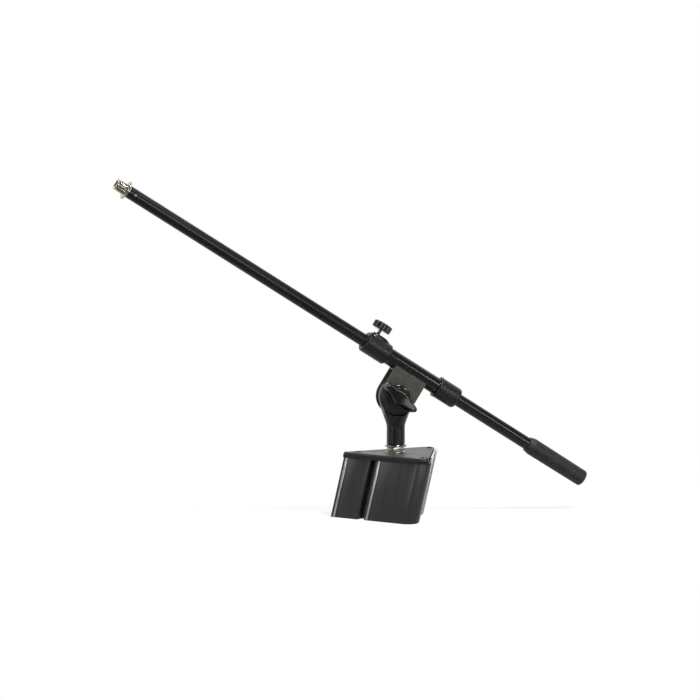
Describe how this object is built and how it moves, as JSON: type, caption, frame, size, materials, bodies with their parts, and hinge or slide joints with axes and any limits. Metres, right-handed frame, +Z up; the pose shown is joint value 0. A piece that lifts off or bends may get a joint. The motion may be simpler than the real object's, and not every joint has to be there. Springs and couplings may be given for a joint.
{
  "type": "microphone boom arm on a column head",
  "caption": "Straight microphone boom in a tilting clamp with a wing knob and a thumb screw, on a threaded stud in the capped head of a leaning triangular column.",
  "frame": {"origin": "centre of the triangular column's section on its cut lower face", "axes": "+Z up; the boom lies in a plane parallel to XZ with its microphone end towards -X and its grip towards +X; -Y is the side that shows the wing knob"},
  "size_m": [0.6566, 0.1222, 0.4605],
  "materials": {
    "black_anodised": "black anodised extruded aluminium",
    "bright_aluminium": "satin aluminium",
    "cap_black": "moulded black nylon",
    "cap_grey": "grey satin plate",
    "nickel": "nickel plated",
    "zinc_steel": "bright zinc plated",
    "cast_black": "black enamel on die casting",
    "tube_black": "black baked enamel on steel tube",
    "bracket_grey": "dark grey-olive powder coat on sheet steel",
    "collar_black": "moulded black nylon",
    "knob_black": "moulded black plastic",
    "liner_white": "natural acetal",
    "friction_fibre": "pressed friction fibre",
    "brass": "turned brass",
    "grip_rubber": "moulded black rubber",
    "raw_steel": "raw turned steel"
  },
  "bodies": {
    "column_head": {"column_extrusion": "black_anodised", "trim_strips_near": "bright_aluminium", "trim_strips_far": "bright_aluminium", "front_track": "bright_aluminium", "column_cap": "cap_black", "cap_plate": "cap_grey", "cap_screws": "zinc_steel", "threaded_stud": "nickel", "stud_washer": "nickel", "stud_nut": "nickel", "stud_back_nut": "zinc_steel"},
    "lower_ring": {"lower_lock_ring": "nickel"},
    "swivel": {"swivel_casting": "cast_black", "thread_insert": "brass", "friction_disc_front": "friction_fibre", "friction_disc_rear": "friction_fibre"},
    "clamp": {"pivot_bracket": "bracket_grey", "pivot_bolt": "zinc_steel", "bolt_washer": "zinc_steel", "boom_sleeve": "tube_black", "front_collar": "collar_black", "rear_collar": "collar_black", "front_liner": "liner_white", "rear_liner": "liner_white"},
    "wing": {"wing_knob": "knob_black", "wing_insert": "brass", "wing_washer": "zinc_steel"},
    "thumb": {"thumb_knob": "knob_black", "thumb_screw": "zinc_steel", "thumb_shoe": "brass"},
    "boom": {"boom_rod": "tube_black", "mic_adapter": "nickel", "adapter_pin": "raw_steel", "boom_grip": "grip_rubber", "grip_weight": "raw_steel"},
    "upper_ring": {"upper_lock_ring": "nickel"}
  },
  "joints": [
    {"name": "lower_ring_turn", "type": "hinge", "parent": "column_head", "child": "lower_ring", "pos_m": [0.00681, -0.00275, 0.0974], "axis": [0, 0, 1], "range_deg": [-360, 360]},
    {"name": "swivel_turn", "type": "hinge", "parent": "column_head", "child": "swivel", "pos_m": [0.00681, -0.00275, 0.105], "axis": [0, 0, 1], "range_deg": [-180, 180]},
    {"name": "boom_tilt", "type": "hinge", "parent": "swivel", "child": "clamp", "pos_m": [0.00681, -0.00275, 0.1638], "axis": [0, 1, 0], "range_deg": [-90, 25]},
    {"name": "wing_turn", "type": "hinge", "parent": "clamp", "child": "wing", "pos_m": [0.00681, -0.00275, 0.1638], "axis": [0, 1, 0], "range_deg": [-360, 360]},
    {"name": "thumb_turn", "type": "hinge", "parent": "clamp", "child": "thumb", "pos_m": [-0.01178, -0.00275, 0.25746], "axis": [0.5373, 0, 0.8434], "range_deg": [-360, 360]},
    {"name": "boom_slide", "type": "slide", "parent": "clamp", "child": "boom", "axis": [0.8434, 0, -0.5373], "range_m": [-0.117, 0.38]},
    {"name": "upper_ring_turn", "type": "hinge", "parent": "boom", "child": "upper_ring", "pos_m": [-0.36113, -0.00275, 0.44563], "axis": [0.8434, 0, -0.5373], "range_deg": [-360, 360]}
  ]
}
